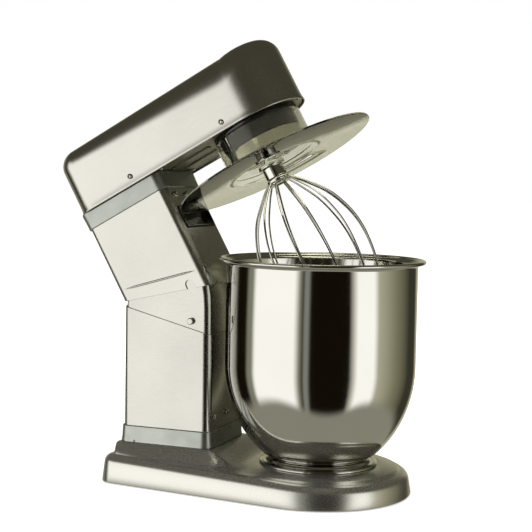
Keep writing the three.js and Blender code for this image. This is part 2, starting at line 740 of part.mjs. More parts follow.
function splashGuard() {
  const { radius, z, half, neckInner, wall, neckTop } = GUARD;
  const neckOuter = neckInner + wall;
  const body = turned([
    [neckInner, z + 3], [neckInner + 2.4, z], [neckInner + 7, z - half], [radius - 1.5, z - half],
    [radius, z], [radius - 1.5, z + half], [neckInner + 9, z + half], [neckInner + 4.5, z + 2.6],
    [neckOuter, z + 7], [neckOuter, neckTop], [neckInner, neckTop], [neckInner, z + 3],
  ], 32);
  const lip = prism(fillerShape(FILLER.lip), z - half, FILLER.lipTop);
  const opening = prism(fillerShape(0), z - 10, FILLER.lipTop + 10);
  const slot = block(neckInner - 4, neckOuter + 4, -6, 6, HOUSING.bottom - 1, neckTop + 5);
  return cut(join(body, lip), opening, slot.rotateZ(THREE.MathUtils.degToRad(GUARD_LUG)));
}

// ---- assembly ------------------------------------------------------------

const mixer = new THREE.Group();
const machine = new THREE.Group();
machine.position.x = BOWL_AXIS_X;
mixer.add(machine);

machine.add(
  piece('base_cover', baseCover(), STEEL),
  piece('base_plate', basePlate(), STEEL),
  ...feet(),
  piece('bowl_seat_ring', seatRing(), STEEL),
  piece('cable_gland', cableGland(), BLACK),
  piece('lower_collar', collar(COLLAR_LOW), CAST),
  piece('lower_column', lowerColumn(), STEEL),
  piece('column_sleeve', columnSleeve(), STEEL),
  piece('stop_stud_near', stopStud(-1), CHROME),
  piece('stop_stud_far', stopStud(1), CHROME),
  piece('hinge_pin', throughSide(HINGE.pin, HINGE.x, HINGE.z, -40.8, 40.8), CHROME),
  piece('control_panel', controlPanel(), BLACK),
  piece('control_board', block(-205, -145, 30, 31.6, 90, 165), BOARD),
  piece('speed_knob', speedKnob(), BLACK),
  piece('start_button', pushButton(-1), GREEN),
  piece('stop_button', pushButton(1), RED),
  piece('bowl', bowlShell(), CHROME),
  piece('bowl_foot', bowlFoot(), CHROME)
);

for (const [i, y] of [-35, 0, 35].entries()) {
  const bolt = piece('lower_screw_' + (i + 1), screw(4), CHROME);
  bolt.rotation.y = Math.PI / 2;
  bolt.position.set(COLUMN.front, y, 82);
  machine.add(bolt);
}

// The tilting head, drawn level and turned open about the hinge.
const tilt = new THREE.Group();
tilt.position.set(HINGE.x, 0, HINGE.z);
tilt.rotation.y = -HEAD_OPEN;
const head = new THREE.Group();
head.position.set(-HINGE.x, 0, -HINGE.z);
tilt.add(head);
machine.add(tilt);

head.add(
  piece('upper_column', upperColumn(), STEEL),
  piece('hinge_leaf', hingeLeaf(), STEEL),
  piece('upper_collar', upperCollar(), CAST),
  piece('head_pan', headPan(), STEEL),
  piece('head_cover', headCover(), STEEL),
  piece('hub_housing', hubHousing(), BLACK),
  piece('guard_pocket', guardPocket(), BLACK),
  piece('spindle_bearing_lower', bearing(327.1), CHROME),
  piece('spindle_bearing_upper', bearing(336.5), CHROME),
  piece('motor', motorBody(), CAST),
  piece('motor_plate', motorPlate(), STEEL),
  piece('drive_belt', driveBelt(), RUBBER),
  piece('lock_knob', lockKnob(), BLACK),
  piece('splash_guard', splashGuard(), CLEAR)
);

const ring = piece('ring_gear', ringGear(), STEEL);
ring.rotation.z = ORBIT_ANGLE;
head.add(ring);

const coverScrewPlaces = [[-148.8, -1], [-17.1, -1], [-148.8, 1], [-17.1, 1]];
for (const [i, [x, side]] of coverScrewPlaces.entries()) {
  const bolt = piece('cover_screw_' + (i + 1), screw(3.2), CHROME);
  bolt.rotation.x = (-side * Math.PI) / 2;
  bolt.position.set(x, side * HEAD.half, 341);
  head.add(bolt);
}

for (const [i, y] of [-33, 0, 33].entries()) {
  const bolt = piece('upper_screw_' + (i + 1), screw(4), CHROME);
  bolt.rotation.y = Math.PI / 2;
  bolt.position.set(COLUMN.front, y, 300.5);
  head.add(bolt);
}

// The motor's turning pieces.
const rotor = new THREE.Group();
rotor.position.x = MOTOR.x;
rotor.add(
  piece('motor_shaft', rod(MOTOR.shaft, 311, PULLEY.bottom + PULLEY.height + 1, 20), CHROME),
  piece('motor_pulley', pulley(PULLEY.driver, MOTOR.shaft + GAP), STEEL)
);
head.add(rotor);

// The planetary carrier, and on it the agitator with the whisk.
const carrier = new THREE.Group();
carrier.rotation.z = ORBIT_ANGLE;
head.add(carrier);
carrier.add(
  piece('planetary_carrier', planetaryCarrier(), STEEL),
  piece('driven_pulley', pulley(PULLEY.driven, SPINDLE_RADIUS + GAP), STEEL)
);
const orbiting = new THREE.Group();
orbiting.position.x = ORBIT;
carrier.add(orbiting);
orbiting.add(
  piece('agitator_bush', agitatorBush(), BRASS),
  piece('planet_gear', planetGear(), STEEL)
);
const agitator = new THREE.Group();
agitator.rotation.z = THREE.MathUtils.degToRad(WHISK.phase) - ORBIT_ANGLE;
orbiting.add(agitator);
agitator.add(
  piece('agitator_shaft', agitatorShaft(), CHROME),
  piece('agitator_pin', agitatorPin(), CHROME),
  piece('whisk_hub', whiskHub(), CHROME),
  piece('whisk_cage', whiskCage(), CHROME)
);

export default mixer;
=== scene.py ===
"""Looks of a tilt-head planetary stand mixer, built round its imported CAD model.

Shapes are drawn in millimetres about the bowl's axis, with the head closed, and then
placed in the row frame: by MACHINE what stands still, and by HEAD what tilts.
"""
import json
import math
import bmesh
import bpy
from mathutils import Matrix, Vector


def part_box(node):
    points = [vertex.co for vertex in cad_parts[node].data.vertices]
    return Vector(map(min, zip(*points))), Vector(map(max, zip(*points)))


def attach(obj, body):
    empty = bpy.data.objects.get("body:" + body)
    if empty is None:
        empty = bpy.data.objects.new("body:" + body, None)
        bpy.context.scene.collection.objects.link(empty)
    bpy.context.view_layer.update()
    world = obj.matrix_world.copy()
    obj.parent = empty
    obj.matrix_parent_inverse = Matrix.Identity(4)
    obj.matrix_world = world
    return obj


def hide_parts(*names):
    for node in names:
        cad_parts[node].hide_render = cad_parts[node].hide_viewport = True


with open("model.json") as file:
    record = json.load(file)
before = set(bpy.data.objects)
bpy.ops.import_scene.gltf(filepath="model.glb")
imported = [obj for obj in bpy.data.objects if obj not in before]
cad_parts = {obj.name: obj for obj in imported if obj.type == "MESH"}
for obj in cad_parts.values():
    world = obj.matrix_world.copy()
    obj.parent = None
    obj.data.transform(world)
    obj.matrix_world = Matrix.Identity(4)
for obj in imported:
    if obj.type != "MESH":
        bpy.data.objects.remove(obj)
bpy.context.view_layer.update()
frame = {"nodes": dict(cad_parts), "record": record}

# ---- places taken from the frame -----------------------------------------

MM = 0.001
JOINTS = {j["name"]: j for j in frame["record"]["behaviour"]["joints"]}
HINGE = Vector(JOINTS["head_tilt"]["pos_m"])
OPEN = math.radians(JOINTS["head_tilt"]["range_deg"][1])
BOWL_LOW, BOWL_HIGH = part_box("bowl")
AXIS_X = (BOWL_LOW.x + BOWL_HIGH.x) / 2

MACHINE = Matrix.Translation((AXIS_X, 0, 0)) @ Matrix.Scale(MM, 4)
HEAD = (Matrix.Translation(HINGE) @ Matrix.Rotation(-OPEN, 4, "Y")
        @ Matrix.Translation(-HINGE) @ MACHINE)
SHAFT = HEAD.inverted() @ Vector(JOINTS["agitator_spin"]["pos_m"])
SHAFT_TURN = math.atan2(SHAFT.y, SHAFT.x)
AGITATOR = HEAD @ Matrix.Translation((SHAFT.x, SHAFT.y, 0)) @ Matrix.Rotation(SHAFT_TURN, 4, "Z")


# ---- node materials ------------------------------------------------------

def new_material(name):
    """A node material and its Principled shader."""
    mat = bpy.data.materials.new(name)
    mat.use_nodes = True
    return mat, mat.node_tree.nodes["Principled BSDF"]


def node(mat, kind, inputs=(), **settings):
    """A shader node whose inputs are values or sockets to link from."""
    made = mat.node_tree.nodes.new(kind)
    for key, value in settings.items():
        setattr(made, key, value)
    for socket, value in dict(inputs).items():
        if isinstance(value, bpy.types.NodeSocket):
            mat.node_tree.links.new(value, made.inputs[socket])
        else:
            made.inputs[socket].default_value = value
    return made


def place(mat, scale=(1, 1, 1), turn=(0, 0, 0)):
    """Object coordinates, turned and then stretched."""
    at = node(mat, "ShaderNodeTexCoord").outputs["Object"]
    turned = node(mat, "ShaderNodeMapping", {"Vector": at, "Rotation": turn}).outputs[0]
    return node(mat, "ShaderNodeMapping", {"Vector": turned, "Scale": scale}).outputs[0]


def noise(mat, at, scale, detail=3.0, rough=0.55):
    made = node(mat, "ShaderNodeTexNoise",
                {"Vector": at, "Scale": scale, "Detail": detail, "Roughness": rough})
    return made.outputs["Fac"]


def spread(mat, value, low, high, source=(0.3, 0.7)):
    """Maps a noise value onto low..high."""
    made = node(mat, "ShaderNodeMapRange", {
        "Value": value, "From Min": source[0], "From Max": source[1],
        "To Min": low, "To Max": high})
    return made.outputs["Result"]


def tint(mat, value, dark, light):
    """A colour between two, by a 0..1 value."""
    made = node(mat, "ShaderNodeMix", data_type="RGBA")
    mat.node_tree.links.new(value, made.inputs[0])
    made.inputs[6].default_value = (*dark, 1)
    made.inputs[7].default_value = (*light, 1)
    return made.outputs[2]


def bump(mat, shader, height, strength, distance=0.0002):
    made = node(mat, "ShaderNodeBump",
                {"Height": height, "Strength": strength, "Distance": distance})
    mat.node_tree.links.new(made.outputs[0], shader.inputs["Normal"])
    return made


def metal(name, color, rough, grain_scale=(1, 1, 1), grain=260.0, grain_depth=0.06,
          turn=(0, 0, 0), mottle=0.025, rough_spread=0.02, metallic=1.0):
    """Metal with a directional grain and slow changes of tone and gloss."""
    mat, shader = new_material(name)
    links = mat.node_tree.links
    plain = place(mat)
    cloud = noise(mat, plain, 9.0, 2.0)
    dark = tuple(c * (1 - mottle) for c in color)
    links.new(tint(mat, spread(mat, cloud, 0, 1), dark, color), shader.inputs["Base Color"])
    lines = noise(mat, place(mat, grain_scale, turn), grain, 5.0, 0.7)
    smudge = noise(mat, plain, 12.0, 2.0)
    gloss = node(mat, "ShaderNodeMath", {0: spread(mat, lines, 0, rough_spread),
                                         1: spread(mat, smudge, rough, rough + rough_spread)},
                 operation="ADD")
    links.new(gloss.outputs[0], shader.inputs["Roughness"])
    shader.inputs["Metallic"].default_value = metallic
    bump(mat, shader, lines, grain_depth)
    return mat


def paint(name, color, rough, metallic=0.0, orange_peel=900.0, depth=0.05, mottle=0.12, coat=0.0):
    """Paint or moulded plastic with a fine skin texture and slow tone changes."""
    mat, shader = new_material(name)
    links = mat.node_tree.links
    plain = place(mat)
    cloud = noise(mat, plain, 22.0, 4.0)
    dark = tuple(c * (1 - mottle) for c in color)
    links.new(tint(mat, spread(mat, cloud, 0, 1), dark, color), shader.inputs["Base Color"])
    links.new(spread(mat, noise(mat, plain, 60.0, 5.0), rough * 0.85, rough * 1.2),
              shader.inputs["Roughness"])
    shader.inputs["Metallic"].default_value = metallic
    shader.inputs["Coat Weight"].default_value = coat
    bump(mat, shader, noise(mat, plain, orange_peel, 2.0), depth)
    return mat


def clear_plastic(name, dark, light):
    """Clear, slightly smoky sheet with faint moulding waves."""
    mat, shader = new_material(name)
    links = mat.node_tree.links
    plain = place(mat)
    cloud = noise(mat, plain, 9.0, 3.0)
    links.new(tint(mat, spread(mat, cloud, 0, 1), dark, light), shader.inputs["Base Color"])
    links.new(spread(mat, noise(mat, plain, 40.0, 4.0), 0.02, 0.06), shader.inputs["Roughness"])
    shader.inputs["Transmission Weight"].default_value = 1.0
    shader.inputs["IOR"].default_value = 1.42
    bump(mat, shader, noise(mat, plain, 16.0, 2.0), 0.04, 0.0006)
    return mat


HEAD_TURN = (0, OPEN, 0)
WARM = (0.595, 0.59, 0.55)
MATERIALS = {
    "brushed_shell": metal("brushed_steel", WARM, 0.22, (0.12, 1, 1.0), 520.0, 0.07,
                           mottle=0.08, rough_spread=0.05),
    # The base's steel is a lighter copy of the body's steel: painted light that brightens the base.
    "base_shell": metal("brushed_steel_base_painted_light", (0.7, 0.695, 0.65), 0.25, (0.12, 1, 1), 520.0, 0.06,
                        metallic=0.92),
    "head_shell": metal("brushed_steel_head", WARM, 0.21, (0.12, 1, 1), 520.0, 0.06, HEAD_TURN,
                        mottle=0.06, rough_spread=0.04),
    "plain_steel": metal("plain_steel", (0.5, 0.495, 0.45), 0.3, (1, 1, 0.15), 400.0, 0.1),
    "polished_steel": metal("polished_steel", (0.64, 0.635, 0.6), 0.055, (0.02, 0.02, 1), 900.0,
                            0.015, rough_spread=0.03, mottle=0.04),
    "drum_steel": metal("turned_steel", (0.6, 0.59, 0.53), 0.14, (0.05, 0.05, 1), 1200.0, 0.05,
                        HEAD_TURN),
    "gear_steel": metal("gear_steel", (0.4, 0.4, 0.37), 0.3),
    "fastener_steel": metal("fastener_steel", (0.55, 0.545, 0.5), 0.16, grain=900.0),
    "chrome_plate": metal("chrome", (0.66, 0.66, 0.61), 0.05, grain=700.0, grain_depth=0.01,
                          rough_spread=0.03, mottle=0.03),
    "grey_casting": paint("grey_casting", (0.46, 0.48, 0.445), 0.3, metallic=0.85,
                          orange_peel=1400.0, depth=0.12),
    "painted_pan": paint("painted_pan", (0.3, 0.29, 0.225), 0.4, metallic=0.4),
    "motor_casing": paint("motor_casing", (0.1, 0.105, 0.11), 0.45),
    "pulley_aluminium": metal("pulley_aluminium", (0.7, 0.7, 0.7), 0.3),
    "bush_brass": metal("bush_brass", (0.62, 0.47, 0.2), 0.28),
    "black_plastic": paint("black_plastic", (0.012, 0.012, 0.011), 0.13, depth=0.02, coat=0.3),
    "green_button": paint("green_button", (0.02, 0.2, 0.045), 0.22),
    "red_button": paint("red_button", (0.42, 0.018, 0.012), 0.22),
    "circuit_board": paint("circuit_board", (0.02, 0.12, 0.05), 0.5),
    "black_rubber": paint("black_rubber", (0.018, 0.018, 0.017), 0.7, depth=0.3),
    "clear_guard": clear_plastic("clear_plastic", (0.42, 0.415, 0.32), (0.47, 0.465, 0.36)),
    "guard_neck": clear_plastic("clear_plastic_neck", (0.5, 0.495, 0.4), (0.56, 0.555, 0.45)),
}


# ---- mesh helpers --------------------------------------------------------

def finish_piece(obj, slot, body, replaced=(), material=None):
    obj.data.materials.clear()
    obj.data.materials.append(MATERIALS[material or slot])
    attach(obj, body)
    if replaced:
        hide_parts(*replaced)
    return obj


def add_mesh(name, verts, faces, where, sharp=30):
    """A mesh piece from millimetre vertices, smooth but for edges over an angle."""
    mesh = bpy.data.meshes.new(name)
    mesh.from_pydata([where @ Vector(v) for v in verts], [], faces)
    obj = bpy.data.objects.new(name, mesh)
    bpy.context.collection.objects.link(obj)
    work = bmesh.new()
    work.from_mesh(mesh)
    bmesh.ops.remove_doubles(work, verts=work.verts, dist=2e-6)
    bmesh.ops.recalc_face_normals(work, faces=work.faces)
    work.to_mesh(mesh)
    work.free()
    mesh.shade_smooth()
    mesh.set_sharp_from_angle(angle=math.radians(sharp))
    return obj


def soften(obj, width, segments=3, angle=35):
    """Rounds the edges that are sharper than an angle; width in millimetres."""
    made = obj.modifiers.new("soft_edges", "BEVEL")
    made.width = width * MM
    made.segments = segments
    made.limit_method = "ANGLE"
    made.angle_limit = math.radians(angle)
    made.harden_normals = True
    return obj


def thicken(obj, thickness):
    """Gives a sheet its thickness, inwards; thickness in millimetres."""
    made = obj.modifiers.new("sheet", "SOLIDIFY")
    made.thickness = thickness * MM
    made.offset = -1
    return obj


def apply_modifiers(obj):
    """Bakes the modifiers into the mesh."""
    bpy.context.view_layer.update()
    shown = obj.evaluated_get(bpy.context.evaluated_depsgraph_get())
    mesh = bpy.data.meshes.new_from_object(shown)
    obj.modifiers.clear()
    obj.data = mesh
    return obj


def subtract(obj, *cutters):
    """Cuts other meshes out of a piece and deletes them."""
    for cutter in cutters:
        made = obj.modifiers.new("cut", "BOOLEAN")
        made.operation = "DIFFERENCE"
        made.solver = "EXACT"
        made.object = cutter
    apply_modifiers(obj)
    for cutter in cutters:
        bpy.data.objects.remove(cutter)
    obj.data.shade_smooth()
    obj.data.set_sharp_from_angle(angle=math.radians(30))
    return obj


def rounded(points, steps=5):
    """A polyline whose corners (r, z, fillet) are rounded with that fillet."""
    out = []
    count = len(points)
    for i, point in enumerate(points):
        here = Vector(point[:2])
        fillet = point[2] if len(point) > 2 else 0
        if not fillet or i in (0, count - 1):
            out.append(tuple(here))
            continue
        before = Vector(points[i - 1][:2]) - here
        after = Vector(points[i + 1][:2]) - here
        half = before.angle(after) / 2
        reach = min(fillet / math.tan(half), before.length * 0.49, after.length * 0.49)
        start = here + before.normalized() * reach
        end = here + after.normalized() * reach
        middle = here + (before.normalized() + after.normalized()).normalized() * (
            reach / math.cos(half))
        radius = (start - middle).length
        for k in range(steps + 1):
            arm = start.lerp(end, k / steps) - middle
            out.append(tuple(middle + arm.normalized() * radius))
    return out


def lathe(name, profile, where, centre=(0, 0), segments=96, closed=True, sharp=30):
    """Turns a profile of (r, z) about Z. A closed profile ends where it starts."""
    cx, cy = centre
    verts = []
    for i in range(segments):
        turn = 2 * math.pi * i / segments
        verts += [(cx + r * math.cos(turn), cy + r * math.sin(turn), z) for r, z in profile]
    count = len(profile)
    last = count if closed else count - 1
    faces = []
    for i in range(segments):
        a, b = i * count, ((i + 1) % segments) * count
        for j in range(last):
            k = (j + 1) % count
            if profile[j][0] == 0 and profile[k][0] == 0:
                continue
            quad = [a + j, b + j, b + k, a + k]
            if profile[j][0] == 0:
                quad = [a + j, b + k, a + k]
            elif profile[k][0] == 0:
                quad = [a + j, b + j, a + k]
            faces.append(quad)
    return add_mesh(name, verts, faces, where, sharp)


def outline(arcs):
    """Points along arcs (x, y, r, from, to, steps) joined by straight lines."""
    points = []
    for x, y, r, start, end, steps in arcs:
        for i in range(steps + 1):
            angle = math.radians(start + (end - start) * i / steps)
            points.append((x + r * math.cos(angle), y + r * math.sin(angle)))
    return points


def rounded_rectangle(x0, x1, half, r, steps=8):
    return [
        (x1 - r, half - r, r, 0, 90, steps), (x0 + r, half - r, r, 90, 180, steps),
        (x0 + r, r - half, r, 180, 270, steps), (x1 - r, r - half, r, 270, 360, steps)]


def loft(name, rings, where, cap_start=True, cap_end=True, sharp=30):
    """A skin through rings of equal length."""
    count = len(rings[0])
    verts = [v for ring in rings for v in ring]
    faces = []
    for ring in range(len(rings) - 1):
        for i in range(count):
            a = ring * count + i
            b = ring * count + (i + 1) % count
            faces.append((a, b, b + count, a + count))
    if cap_start:
        faces.append(tuple(reversed(range(count))))
    if cap_end:
        faces.append(tuple(range((len(rings) - 1) * count, len(rings) * count)))
    return add_mesh(name, verts, faces, where, sharp)


def level(points, z):
    return [(x, y, z) for x, y in points]


def bar(name, low, high, where, soft=0.6, segments=3):
    """A block between two corners with rounded edges."""
    points = [(low[0], low[1]), (high[0], low[1]), (high[0], high[1]), (low[0], high[1])]
    made = loft(name, [level(points, low[2]), level(points, high[2])], where)
    return soften(made, soft, segments)


def plan(arcs, side_steps=1):
    """An outline as (x, y, outward x, outward y), its straight sides split evenly."""
    arms = []
    for x, y, r, start, end, steps in arcs:
        for i in range(steps + 1):
            angle = math.radians(start + (end - start) * i / steps)
            arms.append((x + r * math.cos(angle), y + r * math.sin(angle),
                         math.cos(angle), math.sin(angle)))
    out = []
    for i, arm in enumerate(arms):
        after = arms[(i + 1) % len(arms)]
        straight = abs(arm[2] - after[2]) + abs(arm[3] - after[3]) < 1e-6
        parts = side_steps if straight else 1
        out += [tuple(a + (b - a) * k / parts for a, b in zip(arm, after)) for k in range(parts)]
    return out


def inset(points, distance):
    """The outline of a plan moved inwards."""
    return [(x - distance * nx, y - distance * ny) for x, y, nx, ny in points]


def lerp(a, b, t):
    return a + (b - a) * t


def clamp(t):
    return min(max(t, 0.0), 1.0)


def smooth_max(a, b, blend):
    """The larger of two heights, rounded where they meet."""
    h = clamp(0.5 + 0.5 * (a - b) / blend)
    return lerp(b, a, h) + blend * h * (1 - h)


# ---- base ----------------------------------------------------------------

BASE_NOSE, BASE_REAR, BASE_HALF, BASE_CORNER = 108.8, -250.5, 81.3, 22
COLUMN_REAR, COLUMN_FRONT, COLUMN_HALF, COLUMN_CORNER = -231.3, -118.3, 51.8, 9.5


def base_arcs(steps):
    cx, cy = BASE_REAR + BASE_CORNER, BASE_HALF - BASE_CORNER
    reach = math.acos((BASE_NOSE - BASE_CORNER) / math.hypot(cx, cy))
    side = math.degrees(math.atan2(cy, cx) - reach)  # where the nose's arc meets the side
    return [(0, 0, BASE_NOSE, -side, side, 4 * steps), (cx, cy, BASE_CORNER, side, 180, steps),
            (cx, -cy, BASE_CORNER, 180, 360 - side, steps)]


def base_top(x):
    return lerp(26.5, 34.0, (BASE_NOSE - x) / (BASE_NOSE - BASE_REAR))


def base_height(x, y):
    """Height of the base's upper skin: the sheet, the bowl's seat and the column's ramp."""
    sheet = base_top(x)
    reach = math.hypot(x, y)
    seat = 33.0 - 5.5 * clamp((reach - 72) / 30) ** 1.6
    rises = (max(0, (x - COLUMN_FRONT - 6) / 32), max(0, (COLUMN_REAR - 4.5 - x) / 11),
             max(0, (abs(y) - COLUMN_HALF - 4.5) / 20))
    away = clamp(math.hypot(max(rises[0], rises[1]), rises[2]))
    ramp = lerp(46.5, sheet - 1.5, away)
    if reach < 104:
        sheet = smooth_max(sheet, seat, 2.5)
    return smooth_max(sheet, ramp, 1.5)


def base_cover():
    shoulder = 11.0  # radius of the skirt's upper edge
    flatness = 0.93  # height of that rounding over its width
    lean = 2.6  # how far the skirt leans in below it
    points = plan(base_arcs(20), 24)
    rings = [level(inset(points, 0.5), 1.2), level(inset(points, 0.0), 2.0)]
    for k in range(8):
        angle = math.radians(10 + 80 * k / 7)
        rounding = inset(points, lean + shoulder * (1 - math.cos(angle)))
        rings.append([(x, y, base_top(x) - shoulder * flatness * (1 - math.sin(angle)))
                      for x, y in rounding])
    edge = inset(points, lean + shoulder)
    spine = [(min(max(x, -165), 0), 0) for x, _ in edge]  # the line the top's rings close on
    steps = 44
    for k in range(1, steps + 1):
        t = k / steps
        ring = [(lerp(x, sx, t), lerp(y, sy, t)) for (x, y), (sx, sy) in zip(edge, spine)]
        rings.append([(x, y, base_height(x, y)) for x, y in ring])
    made = loft("base_shell", rings, MACHINE, cap_start=False, cap_end=False, sharp=50)
    thicken(made, 1.6)
    # The base takes the lighter copy of the steel, which paints light onto it.
    return finish_piece(made, "brushed_shell", "base", ["base_cover"], "base_shell")


def feet():
    profile = rounded([(0, 0), (12.5, 0, 1.5), (14, 3, 1), (13.2, 8, 0.6), (0, 8)])
    for i, (x, y) in enumerate([(62, 62), (62, -62), (-212, 55), (-212, -55)]):
        made = lathe(f"rubber_foot_{i + 1}", profile, MACHINE, (x, y), 48, closed=False)
        finish_piece(made, "black_rubber", "base", [f"foot_{i + 1}"])


def seat_ring():
    profile = rounded([
        (48, 33.3), (69, 33.3, 0.3), (69, 35.4, 1.2), (65.5, 36.8, 1.6), (61.8, 36.4, 1.2),
        (60.4, 39.4, 1.0), (58, 40.6, 1.2), (55, 40.4, 0.8), (54.2, 39.2), (48, 39.2)], 6)
    made = lathe("seat_beads", profile, MACHINE, segments=128)
    finish_piece(made, "polished_steel", "base", ["bowl_seat_ring"])


# ---- column --------------------------------------------------------------

def collar(name, replaced, where, body, rings):
    """A cast ring round the column, through (distance out, z) rings."""
    points = plan(rounded_rectangle(COLUMN_REAR, COLUMN_FRONT, COLUMN_HALF, COLUMN_CORNER, 10))
    skins = [level(inset(points, -out), z) for out, z in rings]
    made = loft(name, skins, where, cap_start=False, cap_end=False, sharp=28)
    finish_piece(soften(made, 0.5), "grey_casting", body, [replaced])


def collars():
    collar("lower_collar_casting", "lower_collar", MACHINE, "base", [
        (0.3, 46.8), (3.6, 46.8), (3.6, 48.2), (2.9, 53), (2.2, 66), (0.3, 66.4), (0.3, 46.8)])
    collar("upper_collar_casting", "upper_collar", HEAD, "head", [
        (0.3, 310.3), (1.9, 310.6), (2.1, 320), (2.9, 330.3), (1.3, 332.6), (0.3, 332.6),
        (0.3, 310.3)])
    for side, end in ((-1, "near"), (1, "far")):
        at = (COLUMN_REAR + 18, side * (COLUMN_HALF + 3.3), 48.4)
        made = screw_head(f"collar_pip_{end}", 1.3, MACHINE, at, (0, side, 0))
        finish_piece(made, "grey_casting", "base")


def hem():
    """The pressed bead near the lower edge of the tilting half of the column."""
    rear_edge, front_edge = 215.9, 182.9  # height of that edge at the column's rear and front
    slope = (front_edge - rear_edge) / (COLUMN_FRONT - COLUMN_REAR)
    x0, x1 = COLUMN_REAR + 10.5, COLUMN_FRONT - 11
    steps, sides, thick = 12, 10, 1.4
    for side, end in ((-1, "near"), (1, "far")):
        rings = []
        for k in range(steps + 1):
            t = k / steps
            x = lerp(x0, x1, t)
            z = rear_edge + lerp(14.8, 20.6, t) + slope * (x - COLUMN_REAR)
            size = thick * min(1.0, 0.15 + 7 * min(t, 1 - t))
            ring = []
            for j in range(sides):
                turn = 2 * math.pi * j / sides
                ring.append((x, side * (COLUMN_HALF + size * math.cos(turn)),
                             z + size * math.sin(turn)))
            rings.append(ring)
        made = loft(f"column_bead_{end}", rings, HEAD, sharp=60)
        finish_piece(made, "brushed_shell", "head")


def screw_head(name, radius, where, at, axis, socket=0.5):
    """A domed screw head with a hexagonal socket, standing on a face."""
    turn = Vector((0, 0, 1)).rotation_difference(Vector(axis)).to_matrix().to_4x4()
    local = where @ Matrix.Translation(at) @ turn
    count = 24
    def ring(r, z, hexagon=False):
        out = []
        for i in range(count):
            angle = 2 * math.pi * i / count
            reach = r
            if hexagon:
                reach = r / math.cos((angle + math.pi / 6) % (math.pi / 3) - math.pi / 6)
            out.append((reach * math.cos(angle), reach * math.sin(angle), z))
        return out
    hole = radius * socket
    rings = [ring(radius, 0.1), ring(radius, radius * 0.3), ring(radius * 0.95, radius * 0.48),
             ring(radius * 0.82, radius * 0.66), ring(radius * 0.66, radius * 0.75),
             ring(hole * 1.04, radius * 0.78, True), ring(hole * 0.96, radius * 0.7, True),
             ring(hole * 0.92, radius * 0.22, True)]
    return loft(name, rings, local, sharp=40)


def screws():
    heads = []
    for i, (x, side) in enumerate([(-148.8, -1), (-17.1, -1), (-148.8, 1), (-17.1, 1)]):
        at = (x, side * HEAD_HALF, 341)
        heads.append((f"cover_screw_{i + 1}", 3.2, HEAD, at, (0, side, 0), "head"))
    for i, y in enumerate((-33, 0, 33)):
        at = (COLUMN_FRONT, y, 300.5)
        heads.append((f"upper_screw_{i + 1}", 4, HEAD, at, (1, 0, 0), "head"))
    for i, y in enumerate((-35, 0, 35)):
        at = (COLUMN_FRONT, y, 82)
        heads.append((f"lower_screw_{i + 1}", 4, MACHINE, at, (1, 0, 0), "base"))
    for replaced, radius, where, at, axis, body in heads:
        made = screw_head(replaced + "_head", radius, where, at, axis)
        finish_piece(made, "fastener_steel", body, [replaced])
    pan_places = [(-114, -45.5), (-114, 45.5), (-57, -54), (-57, 54), (-6, -55.6), (-6, 55.6),
                  (60.6, 1.4)]
    for i, (x, y) in enumerate(pan_places):
        made = screw_head(f"pan_screw_{i + 1}", 2.4, HEAD, (x, y, PAN_Z), (0, 0, -1))
        finish_piece(made, "fastener_steel", "head")


def stop_studs():
    centre = Matrix.Translation((-143, 0, 195.7))
    profile = rounded([(0, 50.5), (4, 50.5), (4, 54.6, 1.2), (0, 54.6)])
    for side, end in ((-1, "near"), (1, "far")):
        turn = centre @ Matrix.Rotation(math.radians(-90 * side), 4, "X")
        made = lathe(f"stop_pin_{end}", profile, MACHINE @ turn, segments=40, closed=False)
        finish_piece(made, "fastener_steel", "base", [f"stop_stud_{end}"])


# ---- controls ------------------------------------------------------------

PANEL_X, PANEL_Z, PANEL_FACE = -175, 112, 55.1
DIAL_Z, BUTTON_Z, BUTTON_OFF = 127, 92, 15  # heights, and the buttons' distance off the middle


def facing_side(x, z):
    """A place on the machine whose Z axis is turned to +Y, the side with the controls."""
    return Matrix.Translation((x, 0, z)) @ Matrix.Rotation(math.radians(-90), 4, "X")


def knob_rings(shape, count, dent):
    """Rings through (radius, height, depth) steps, dented round the knob by a 0..1 function."""
    rings = []
    for radius, z, depth in shape:
        ring = []
        for i in range(count):
            angle = 2 * math.pi * i / count
            r = radius - depth * dent(angle)
            ring.append((r * math.cos(angle), r * math.sin(angle), z))
        rings.append(ring)
    return rings


def control_side(profile, name, x, z, slot, body, replaced):
    """A part turned about +Y on the side with the controls."""
    made = lathe(name, profile, MACHINE @ facing_side(x, z), segments=64, closed=False)
    finish_piece(made, slot, body, replaced)


def control_panel():
    points = outline(rounded_rectangle(PANEL_X - 30, PANEL_X + 30, 37, 7))
    rings = [[(x, y, PANEL_Z + z) for x, z in points] for y in (52.1, PANEL_FACE)]
    made = loft("panel_plate", rings, MACHINE)
    finish_piece(soften(made, 1.0, 4), "black_plastic", "base", ["control_panel"])
    for k in range(11):
        angle = math.radians(225 - 27 * k)
        long = 3.6 if k % 5 == 0 else 2.2
        along = Vector((math.cos(angle), 0, math.sin(angle)))
        middle = Vector((PANEL_X, PANEL_FACE + 0.1, DIAL_Z)) + along * (20.4 + long / 2)
        turn = Matrix.Translation(middle) @ Matrix.Rotation(-angle, 4, "Y")
        made = bar(f"dial_mark_{k + 1}", (-long / 2, -0.12, -0.4), (long / 2, 0.12, 0.4),
                   MACHINE @ turn, 0.1, 2)
        finish_piece(made, "fastener_steel", "base")
    bezel = rounded([(8.1, PANEL_FACE), (10.6, PANEL_FACE, 0.3), (10.4, PANEL_FACE + 2, 0.8),
                     (8.1, PANEL_FACE + 2, 0.5), (8.1, PANEL_FACE)], 4)
    for side, end in ((-1, "start"), (1, "stop")):
        control_side(bezel, f"{end}_bezel", PANEL_X + side * BUTTON_OFF, BUTTON_Z,
                     "fastener_steel", "base", ())


